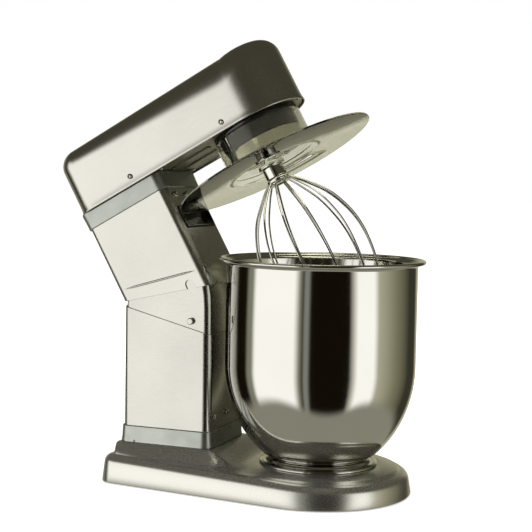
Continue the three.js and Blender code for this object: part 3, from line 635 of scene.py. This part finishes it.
def speed_knob():
    where = MACHINE @ facing_side(PANEL_X, DIAL_Z)
    face = PANEL_FACE + 0.3
    shape = [(17, face, 0), (17, face + 3, 0), (15.6, face + 4.4, 0.7), (14.4, face + 12.6, 0.9),
             (13.4, face + 14.4, 0.5), (11.5, face + 15, 0.0)]
    rings = knob_rings(shape, 144, lambda angle: (0.5 + 0.5 * math.cos(18 * angle)) ** 2)
    made = loft("speed_knob_grip", rings, where, sharp=50)
    finish_piece(soften(made, 0.3, 2, 45), "black_plastic", "speed_knob", ["speed_knob"])
    mark = bar("speed_knob_mark", (-0.7, -13, face + 14.9), (0.7, -4, face + 15.2), where, 0.1, 2)
    finish_piece(mark, "fastener_steel", "speed_knob")


def push_buttons():
    top = PANEL_FACE + 4
    profile = rounded([(0, 47), (7.5, 47), (7.5, top, 1.0), (5, top - 0.5, 2), (0, top - 0.8)])
    for side, end, color in ((-1, "start", "green_button"), (1, "stop", "red_button")):
        control_side(profile, f"{end}_cap", PANEL_X + side * BUTTON_OFF, BUTTON_Z,
                     color, f"{end}_button", [f"{end}_button"])


def lock_knob():
    shape = [(4, 50.6, 0), (4, 52.2, 0), (8, 52.2, 0), (8, 57, 0), (12.6, 58.8, 0.6),
             (14, 61, 1.5), (14, 68.5, 1.6), (12.6, 71, 1.2), (9, 72, 0.3)]
    rings = knob_rings(shape, 120, lambda angle: 0.5 - 0.5 * math.cos(6 * angle))
    made = loft("lock_grip", rings, HEAD @ facing_side(-168, 208.7), sharp=45)
    finish_piece(made, "black_plastic", "lock_knob", ["lock_knob"])


# ---- head ----------------------------------------------------------------

GUARD_LUG = math.radians(236)  # where the hub's lug stands, towards the rear
PAN_Z = 333  # underside of the plate that closes the head
HEAD_REAR, HEAD_NOSE, HEAD_HALF, HEAD_CORNER, HEAD_BOTTOM = -234.2, 5.9, 58, 25, 330.6


def head_arcs(steps):
    x, y = HEAD_REAR + HEAD_CORNER, HEAD_HALF - HEAD_CORNER
    return [(HEAD_NOSE, 0, HEAD_HALF, -90, 90, 4 * steps),
            (x, y, HEAD_CORNER, 90, 180, steps), (x, -y, HEAD_CORNER, 180, 270, steps)]


def head_top(x):
    return lerp(408.2, 416.6, (x - HEAD_REAR) / (HEAD_NOSE + HEAD_HALF - HEAD_REAR))


def head_fillet(x):
    """Radius of the cover's top edge, which tightens round the nose."""
    if x > HEAD_NOSE:
        return lerp(40, 20, clamp((x - HEAD_NOSE) / HEAD_HALF))
    return lerp(20, 40, (x - HEAD_REAR) / (HEAD_NOSE - HEAD_REAR))


def head_cover():
    points = plan(head_arcs(14), 28)
    flare = [(-0.1, 0.0), (-0.62, 0.15), (-0.95, 0.6), (-1.0, 1.2), (-0.9, 2.2), (-0.66, 3.4),
             (-0.4, 5.0), (-0.18, 6.8), (-0.05, 8.6), (0.0, 10.4)]
    rings = [level(inset(points, d), HEAD_BOTTOM + z) for d, z in flare]
    radii = [head_fillet(x) for x, *_ in points]
    steps = 20
    for k in range(steps + 1):
        angle = math.radians(90 * k / steps)
        ring = []
        for (x, y, nx, ny), r in zip(points, radii):
            d = r * (1 - math.cos(angle))
            here = x - d * nx
            ring.append((here, y - d * ny, head_top(here) - r * (1 - math.sin(angle))))
        rings.append(ring)
    made = loft("head_shell", rings, HEAD, cap_start=False, sharp=50)
    thicken(made, 1.2)
    finish_piece(made, "brushed_shell", "head", ["head_cover"], "head_shell")


def head_pan():
    points = plan(head_arcs(10), 8)
    rings = [level(inset(points, 1.6), z) for z in (PAN_Z, PAN_Z + 2)]
    made = loft("pan_plate", rings, HEAD)
    finish_piece(made, "painted_pan", "head", ["head_pan"])
    for i, y in enumerate((-16, 18)):
        made = bar(f"pan_rib_{i + 1}", (-112, y - 4, 331.2), (-58, y + 4, 333.4), HEAD, 1.7, 4)
        finish_piece(made, "painted_pan", "head")


def hub_housing():
    profile = rounded([(44.6, 308.5), (47, 308.5, 0.7), (47, 326.5, 0.4), (53, 326.5, 0.9),
                       (53, 332.7), (19.5, 332.7), (19.5, 343.5), (17.3, 343.5),
                       (17.3, 326.8), (15, 326.8),
                       (15, 324.5), (44.6, 324.5)], 4)
    made = lathe("hub_casing", profile, HEAD, segments=128)
    finish_piece(made, "black_plastic", "head", ["hub_housing"])
    lug = HEAD @ Matrix.Rotation(GUARD_LUG, 4, "Z")
    made = bar("hub_lug", (45.5, -5, 309.5), (56, 5, 322.5), lug, 0.8)
    finish_piece(made, "black_plastic", "head")


def guard_pocket():
    middle = 271.5

    def ring(out, shrink):
        points = outline(rounded_rectangle(-41 + shrink, 41 - shrink, 14.5 - shrink, 2.4, 4))
        return [(COLUMN_FRONT + out, y, middle + z) for y, z in points]

    rings = [ring(0.2, 0), ring(1.0, 0), ring(1.5, 0.6), ring(1.5, 2.2), ring(1.0, 2.8),
             ring(-5, 3.2)]
    made = loft("pocket_tray", rings, HEAD, cap_start=False, sharp=40)
    finish_piece(made, "black_plastic", "head", ["guard_pocket"])


# ---- drive and whisk -----------------------------------------------------

def carrier():
    profile = rounded([(0, 290.3), (12, 290.3), (43, 290.3, 0.5), (45.2, 291.2, 1.2),
                       (46, 294, 1.5), (46, 308.2, 0.4), (43.5, 308.2), (43.5, 293.5),
                       (12, 293.5), (12, 311, 0.5), (8, 311), (8, 368), (0, 368)], 5)
    made = lathe("carrier_drum", profile, HEAD, segments=160, closed=False)
    finish_piece(made, "drum_steel", "carrier", ["planetary_carrier"])
    boss = rounded([(10, 290.6), (13.6, 290.6, 0.3), (13, 289, 0.5), (13, 284.4, 0.8),
                    (10, 284.3)], 4)
    made = lathe("shaft_boss", boss, AGITATOR, segments=64)
    finish_piece(made, "chrome_plate", "carrier")
    for i, turn in enumerate((35, 155, 275)):
        angle = SHAFT_TURN + math.radians(turn)
        at = (33 * math.cos(angle), 33 * math.sin(angle), 290.4)
        made = screw_head(f"drum_screw_{i + 1}", 3.0, HEAD, at, (0, 0, -1))
        finish_piece(made, "fastener_steel", "carrier")


def agitator():
    profile = rounded([(0, 262), (7, 262, 1), (7, 279, 0.2), (6.2, 279.8, 0.2), (6.2, 281.4, 0.2),
                       (7, 282.2, 0.2), (7, 323, 0.8), (0, 323)], 4)
    made = lathe("shaft_rod", profile, AGITATOR, segments=64, closed=False)
    finish_piece(made, "chrome_plate", "agitator", ["agitator_shaft"])
    across = AGITATOR @ Matrix.Translation((0, 0, 274.6))
    across = across @ Matrix.Rotation(math.radians(90), 4, "X")
    profile = rounded([(0, -14.6), (2.2, -14.6, 0.8), (2.2, 14.6, 0.8), (0, 14.6)], 4)
    made = lathe("shaft_cross_pin", profile, across, segments=32, closed=False)
    finish_piece(made, "chrome_plate", "agitator", ["agitator_pin"])


WHISK_PHASE = math.radians(3)
WHISK_SIDE = [(12.2, 255), (17.5, 250.5), (23, 246), (33, 235), (43.2, 224), (50.6, 212),
              (57, 198), (62.8, 181), (65, 163), (64.8, 148), (63, 128), (58, 107), (50, 88),
              (40, 73), (27, 60), (14, 53.8), (0, 52)]  # a wire from the hub to the bottom
WIRE_RADIUS, WIRE_LOOPS, WIRE_STEP = 1.15, 6, 0.45


def whisk_hub():
    profile = rounded([
        (7.4, 261), (7.4, 276), (16, 276, 0.9), (16, 271.8, 0.9), (12.6, 271, 0.8),
        (12.6, 258.4, 0.7), (9.8, 257.4, 0.4), (9.8, 253.2, 0.4), (13.2, 252.8, 0.6),
        (13.2, 250.6, 0.8), (5, 250.2), (5, 261)], 4)
    made = lathe("whisk_socket", profile, AGITATOR, segments=96)
    slot = bar("slot_cutter", (-2.7, -20, 272.2), (2.7, 20, 280), AGITATOR, 0.01, 1)
    apply_modifiers(slot)
    subtract(made, slot)
    finish_piece(made, "chrome_plate", "whisk", ["whisk_hub"])


def whisk_wires():
    """The whisk's loops, which cross at the bottom one step below another."""
    cage = AGITATOR @ Matrix.Rotation(WHISK_PHASE, 4, "Z") @ Matrix.Rotation(-SHAFT_TURN, 4, "Z")
    data = bpy.data.curves.new("whisk_wires", "CURVE")
    data.dimensions = "3D"
    data.bevel_depth = WIRE_RADIUS * MM
    data.bevel_resolution = 5
    data.resolution_u = 10
    data.use_fill_caps = True
    across = WHISK_SIDE + [(-r, z) for r, z in reversed(WHISK_SIDE[:-1])]
    for i in range(WIRE_LOOPS):
        angle = math.pi * i / WIRE_LOOPS
        drop = WIRE_STEP * (i - (WIRE_LOOPS - 1) / 2)
        spline = data.splines.new("NURBS")
        spline.points.add(len(across) - 1)
        spline.order_u = 4
        spline.use_endpoint_u = True
        for point, (r, z) in zip(spline.points, across):
            sink = drop * clamp(1 - abs(r) / 30) if z < 80 else 0
            at = cage @ Vector((r * math.cos(angle), r * math.sin(angle), z + sink))
            point.co = (*at, 1)
    obj = bpy.data.objects.new("whisk_wires", data)
    bpy.context.collection.objects.link(obj)
    finish_piece(obj, "chrome_plate", "whisk", ["whisk_cage"])


def whisk_collar():
    """The ring that holds the wires' ends in the hub's groove."""
    ring = rounded([(9.9, 253.3), (13.8, 253.3, 0.8), (13.8, 257, 0.8), (9.9, 257)], 4)
    made = lathe("whisk_collar", ring, AGITATOR, segments=72)
    finish_piece(made, "chrome_plate", "whisk")


# ---- bowl and guard ------------------------------------------------------

BOWL_WALL, BOWL_RIM, BOWL_RIM_Z, BOWL_ROLL = 111.2, 118.2, 270.2, 2.3


def bowl_radius(z):
    return BOWL_WALL * math.sqrt(1 - ((150 - z) / 130) ** 2)


def bowl():
    heights = [45.4 + (150 - 45.4) * (k / 36) ** 1.25 for k in range(37)]
    floor = 43.2
    outer = [(0, floor), (54, floor), (60, floor + 0.25), (63.5, floor + 0.9)]
    outer += [(bowl_radius(z), z) for z in heights]
    outer += [(BOWL_WALL, 200), (BOWL_WALL, 264.4), (BOWL_WALL + 0.4, 265.8),
              (BOWL_WALL + 1.5, 266.9), (BOWL_WALL + 3.2, 267.4), (BOWL_WALL + 5.0, 267.6)]
    for k in range(17):
        angle = math.radians(-80 + 16.25 * k)
        outer.append((BOWL_RIM + BOWL_ROLL * math.cos(angle),
                      BOWL_RIM_Z + BOWL_ROLL * math.sin(angle)))
    inner = [(BOWL_WALL + 3.0, 268.6), (BOWL_WALL + 0.9, 268.0), (BOWL_WALL - 0.4, 266.7),
             (BOWL_WALL - 1, 264.6)]
    inner += [(bowl_radius(z) - 1, z + 0.6) for z in reversed(heights)]
    inner += [(60, floor + 1.4), (52, floor + 1), (0, floor + 1)]
    made = lathe("bowl_shell", outer + inner, MACHINE, segments=192, closed=False, sharp=40)
    finish_piece(made, "polished_steel", "bowl", ["bowl"])
    foot = rounded([(50, 39.5), (53, 39.5, 0.6), (54, 40.6, 0.6), (54, 42.9), (50, 42.9)], 4)
    made = lathe("bowl_foot_ring", foot, MACHINE, segments=128)
    finish_piece(made, "polished_steel", "bowl", ["bowl_foot"])


GUARD_Z, GUARD_RADIUS, NECK = 278.4, 122.5, 51.8


def filler_outline(grow):
    """The filler opening as a rounded sector of the disc."""
    inner, outer, start, end = 62 - grow, 92 + grow, 66, 106
    widen = math.degrees(grow / outer)
    fillet = 5 + max(grow, 0) * 0.5
    steps = 16
    corners = []
    for radius, a, b in ((outer, start - widen, end + widen), (inner, end + widen, start - widen)):
        for k in range(steps + 1):
            angle = math.radians(lerp(a, b, k / steps))
            corners.append((radius * math.cos(angle), radius * math.sin(angle)))
    rounded_points = []
    count = len(corners)
    ends = {0, steps, steps + 1, count - 1}
    for i, corner in enumerate(corners):
        if i not in ends:
            rounded_points.append(corner)
            continue
        here = Vector(corner)
        before, after = Vector(corners[i - 1]), Vector(corners[(i + 1) % count])
        reach = min(fillet, (before - here).length * 0.9, (after - here).length * 0.9)
        start_at = here + (before - here).normalized() * reach
        end_at = here + (after - here).normalized() * reach
        for k in range(5):
            t = k / 4
            rounded_points.append(tuple(start_at.lerp(here, t).lerp(here.lerp(end_at, t), t)))
    return rounded_points


def splash_guard():
    z, r = GUARD_Z, GUARD_RADIUS
    profile = rounded([
        (NECK, z + 4.5, 2.0), (NECK + 3.2, z - 1.1, 3.0), (r, z - 1.1, 0.5), (r, z + 1.1, 0.5),
        (NECK + 6, z + 1.1, 3.0), (NECK + 2.2, z + 7, 2), (NECK + 2.2, 325.5, 0.8),
        (NECK, 325.5, 0.4)], 5)
    made = lathe("guard_disc", profile, HEAD, segments=160)
    hole = filler_outline(0)
    cutter = loft("filler_cutter", [level(hole, z - 6), level(hole, z + 6)], HEAD)
    lug = HEAD @ Matrix.Rotation(GUARD_LUG, 4, "Z")
    gap = bar("lug_cutter", (NECK - 4, -6, 307.5), (NECK + 5, 6, 330), lug, 0.01, 1)
    apply_modifiers(gap)
    subtract(made, cutter, gap)
    finish_piece(made, "clear_guard", "splash_guard", ["splash_guard"])
    made.data.materials.append(MATERIALS["guard_neck"])
    back = HEAD.inverted()
    for face in made.data.polygons:
        middle = back @ face.center
        face.material_index = int(math.hypot(middle.x, middle.y) < NECK + 5)
    inner, outer = filler_outline(0.05), filler_outline(2)
    rings = [level(inner, z - 1.1), level(outer, z - 1.1), level(outer, z + 3.2),
             level(filler_outline(1.2), z + 4), level(filler_outline(0.6), z + 4),
             level(inner, z + 3.4), level(inner, z - 1.1)]
    made = loft("filler_wall", rings, HEAD, cap_start=False, cap_end=False, sharp=40)
    finish_piece(made, "clear_guard", "splash_guard")


# ---- carried-over CAD nodes ----------------------------------------------

def smooth_group():
    """Geometry nodes that shade a faceted solid smooth, but for its real edges."""
    group = bpy.data.node_groups.new("smooth_by_angle", "GeometryNodeTree")
    group.interface.new_socket("Geometry", in_out="INPUT", socket_type="NodeSocketGeometry")
    group.interface.new_socket("Geometry", in_out="OUTPUT", socket_type="NodeSocketGeometry")
    start, end = group.nodes.new("NodeGroupInput"), group.nodes.new("NodeGroupOutput")
    merge = group.nodes.new("GeometryNodeMergeByDistance")
    merge.inputs["Distance"].default_value = 2e-6
    faces = group.nodes.new("GeometryNodeSetShadeSmooth")
    edges = group.nodes.new("GeometryNodeSetShadeSmooth")
    edges.domain = "EDGE"
    angle = group.nodes.new("GeometryNodeInputMeshEdgeAngle")
    small = group.nodes.new("FunctionNodeCompare")
    small.operation = "LESS_EQUAL"
    small.inputs["B"].default_value = math.radians(32)
    link = group.links.new
    link(start.outputs[0], merge.inputs["Geometry"])
    link(merge.outputs["Geometry"], faces.inputs["Geometry"])
    link(faces.outputs["Geometry"], edges.inputs["Geometry"])
    link(angle.outputs["Unsigned Angle"], small.inputs["A"])
    link(small.outputs["Result"], edges.inputs["Shade Smooth"])
    link(edges.outputs["Geometry"], end.inputs[0])
    return group


def dress_cad_nodes():
    smoothing = smooth_group()
    slots = {part["node"]: part["material_slot"] for part in frame["record"]["subparts"]}
    special = {"upper_column": "head_shell", "column_sleeve": "brushed_shell"}
    for name, obj in frame["nodes"].items():
        obj.data.materials.clear()
        obj.data.materials.append(MATERIALS[special.get(name, slots[name])])
        made = obj.modifiers.new("smooth", "NODES")
        made.node_group = smoothing
        made = obj.modifiers.new("edges", "BEVEL")
        made.width = 0.25 * MM
        made.segments = 2
        made.limit_method = "ANGLE"
        made.angle_limit = math.radians(40)
        made = obj.modifiers.new("even_normals", "WEIGHTED_NORMAL")
        made.keep_sharp = True


# ---- studio --------------------------------------------------------------

FRONT = -71.5  # azimuth from the machine to the camera, in degrees
WHITE, CREAM, GREY = (1.0, 0.99, 0.955), (0.62, 0.6, 0.52), (0.2, 0.195, 0.15)
OLIVE, DARK, BLACK = (0.32, 0.305, 0.215), (0.035, 0.033, 0.022), (0.006, 0.004, 0.002)
HAZE, SHADE, STRIP = (0.23, 0.225, 0.18), (0.05, 0.047, 0.032), (0.2, 0.215, 0.19)
SAND, MOSS = (0.4, 0.385, 0.29), (0.2, 0.19, 0.125)
# The studio's panels: degrees round from the camera's direction, and a tone.
PANELS = [
    (-180, OLIVE), (-150, OLIVE), (-138, GREY), (-124, GREY), (-117, BLACK), (-101, BLACK),
    (-96, GREY), (-90, GREY), (-84, WHITE), (-32, WHITE), (-25, GREY), (-21, DARK),
    (-19, STRIP), (-15, STRIP), (-12, BLACK), (34, BLACK), (41, CREAM), (45, WHITE),
    (66, WHITE), (73, SAND), (100, MOSS), (130, DARK), (150, DARK), (158, OLIVE), (180, OLIVE)]
# By degrees up: the tone above and below the panels, and where each takes over.
CEILING = [(-90, HAZE), (-30, HAZE), (-5, SHADE), (90, SHADE)]
TABLE_EDGE = [(-90, 1), (-33, 1), (-23, 0), (90, 0)]
PANEL_TOP = [(-90, 0), (9, 0), (24, 1), (90, 1)]
# By degrees round: how much of the drop the table's edge has there.
TABLE_DIP = [(-180, 0), (-70, 0), (-45, 0.1), (-15, 0.85), (8, 1), (30, 0.85), (50, 0.2),
             (70, 0), (180, 0)]
TABLE_DROP = 16  # degrees
STUDIO_STRENGTH = 1.5
FLOOR_GLOW, GLOW_REACH = (0.5, 1.0), (0.4, 1.2)  # emission near and far, and metres from the middle


def sky():
    """A plain studio: white to the camera, and light and dark panels for the metal to reflect."""
    world = bpy.data.worlds.new("studio")
    bpy.context.scene.world = world
    world.use_nodes = True
    tree = world.node_tree
    tree.nodes.clear()
    link = tree.links.new

    def add(kind, **settings):
        made = tree.nodes.new(kind)
        for key, value in settings.items():
            setattr(made, key, value)
        return made

    def math_node(operation, a, b=None):
        made = add("ShaderNodeMath", operation=operation)
        for socket, value in zip(made.inputs, (a, b)):
            if isinstance(value, bpy.types.NodeSocket):
                link(value, socket)
            elif value is not None:
                socket.default_value = value
        return made.outputs[0]

    at = add("ShaderNodeTexCoord")
    split = add("ShaderNodeSeparateXYZ")
    link(at.outputs["Generated"], split.inputs[0])
    azimuth = math_node("ARCTAN2", split.outputs["Y"], split.outputs["X"])
    turned = math_node("SUBTRACT", math_node("MULTIPLY", azimuth, 180 / math.pi), FRONT)
    wrapped = math_node("WRAP", turned, 180.0)
    wrapped.node.inputs[2].default_value = -180.0
    share = math_node("DIVIDE", math_node("ADD", wrapped, 180.0), 360.0)
    height = math_node("MULTIPLY", math_node("ARCSINE", split.outputs["Z"]), 180 / math.pi)
    up = math_node("DIVIDE", math_node("ADD", height, 90.0), 180.0)

    def ramp(value, stops, low, span, curve="LINEAR"):
        made = add("ShaderNodeValToRGB")
        made.color_ramp.interpolation = curve
        link(value, made.inputs[0])
        tones = []
        for angle, tone in stops:
            grey = not isinstance(tone, tuple)
            tones.append(((angle - low) / span, (tone, tone, tone) if grey else tone))
        fill_ramp(made.color_ramp, tones)
        return made.outputs[0]

    around = ramp(share, PANELS, -180, 360)
    above = ramp(up, CEILING, -90, 180)
    dip = math_node("MULTIPLY", ramp(share, TABLE_DIP, -180, 360, "B_SPLINE"), TABLE_DROP / 180)
    table = ramp(math_node("ADD", up, dip), TABLE_EDGE, -90, 180, "EASE")
    weight = math_node("MAXIMUM", table, ramp(up, PANEL_TOP, -90, 180))
    mixed = add("ShaderNodeMix", data_type="RGBA")
    link(weight, mixed.inputs[0])
    link(around, mixed.inputs[6])
    link(above, mixed.inputs[7])

    mirrored, seen = add("ShaderNodeBackground"), add("ShaderNodeBackground")
    mirrored.inputs["Strength"].default_value = STUDIO_STRENGTH
    link(mixed.outputs[2], mirrored.inputs["Color"])
    seen.inputs["Color"].default_value = (1, 1, 1, 1)
    seen.inputs["Strength"].default_value = 1.0
    chosen = add("ShaderNodeMixShader")
    path = add("ShaderNodeLightPath")
    through = math_node("MAXIMUM", path.outputs["Is Camera Ray"],
                        path.outputs["Is Transmission Ray"])
    link(through, chosen.inputs[0])
    link(mirrored.outputs[0], chosen.inputs[1])
    link(seen.outputs[0], chosen.inputs[2])
    link(chosen.outputs[0], add("ShaderNodeOutputWorld").inputs["Surface"])


def fill_ramp(ramp, stops):
    """Gives a colour ramp its stops, as (position from 0 to 1, tone)."""
    while len(ramp.elements) > 1:
        ramp.elements.remove(ramp.elements[-1])
    for i, (place_at, tone) in enumerate(stops):
        stop = ramp.elements[0] if i == 0 else ramp.elements.new(place_at)
        stop.position = place_at
        stop.color = (*tone, 1)


def studio():
    sky()
    mat, shader = new_material("floor")
    tone = spread(mat, noise(mat, place(mat), 1.5, 2.0), 0.0, 1.0)
    color = tint(mat, tone, (0.9, 0.9, 0.895), (0.92, 0.92, 0.915))
    mat.node_tree.links.new(color, shader.inputs["Base Color"])
    shader.inputs["Roughness"].default_value = 0.6
    shader.inputs["Specular IOR Level"].default_value = 0.15
    shader.inputs["Emission Color"].default_value = (1, 1, 1, 1)
    reach = node(mat, "ShaderNodeVectorMath", {0: place(mat)}, operation="LENGTH").outputs["Value"]
    glow = spread(mat, reach, *FLOOR_GLOW, GLOW_REACH)
    mat.node_tree.links.new(glow, shader.inputs["Emission Strength"])
    bpy.ops.mesh.primitive_plane_add(size=40, location=(0, 0, 0))
    floor = bpy.context.object
    floor.name = "floor"
    floor.data.materials.append(mat)
    floor.visible_glossy = False
    floor.visible_diffuse = False

    def lamp(name, at, aim, size, power):
        data = bpy.data.lights.new(name, "AREA")
        data.shape = "RECTANGLE"
        data.size = data.size_y = size
        data.energy = power
        obj = bpy.data.objects.new(name, data)
        bpy.context.collection.objects.link(obj)
        obj.location = at
        obj.rotation_euler = (Vector(aim) - Vector(at)).to_track_quat("-Z", "Y").to_euler()
        obj.visible_glossy = False

    lamp("overhead", (0, 0, 2.6), (0, 0, 0), 3.4, 96)
    lamp("front_fill", (-0.9, -2.2, 1.5), (0, 0, 0.25), 1.6, 14)


CAMERA_LENS = 87.77
CAMERA_AT = Vector((AXIS_X + 0.4775, -1.4287, 0.3669))
CAMERA_HEADING, CAMERA_PITCH, CAMERA_ROLL = 20.96, -3.98, 1.01  # degrees


def camera():
    data = bpy.data.cameras.new("camera")
    data.lens = CAMERA_LENS
    data.sensor_width = 36
    obj = bpy.data.objects.new("camera", data)
    bpy.context.collection.objects.link(obj)
    heading, pitch, roll = (math.radians(v) for v in (CAMERA_HEADING, CAMERA_PITCH, CAMERA_ROLL))
    forward = Vector((-math.sin(heading) * math.cos(pitch),
                      math.cos(heading) * math.cos(pitch), math.sin(pitch)))
    right = Vector((math.cos(heading), math.sin(heading), 0))
    up = right.cross(forward)
    tilted_right = right * math.cos(roll) + up * math.sin(roll)
    tilted_up = up * math.cos(roll) - right * math.sin(roll)
    axes = Matrix((tilted_right, tilted_up, -forward)).transposed()
    obj.matrix_world = Matrix.Translation(CAMERA_AT) @ axes.to_4x4()
    bpy.context.scene.camera = obj


dress_cad_nodes()
base_cover()
feet()
seat_ring()
collars()
hem()
screws()
stop_studs()
control_panel()
speed_knob()
push_buttons()
lock_knob()
head_cover()
head_pan()
hub_housing()
guard_pocket()
carrier()
agitator()
whisk_hub()
whisk_wires()
whisk_collar()
bowl()
splash_guard()
studio()
camera()
bpy.context.scene.view_settings.view_transform = "Standard"
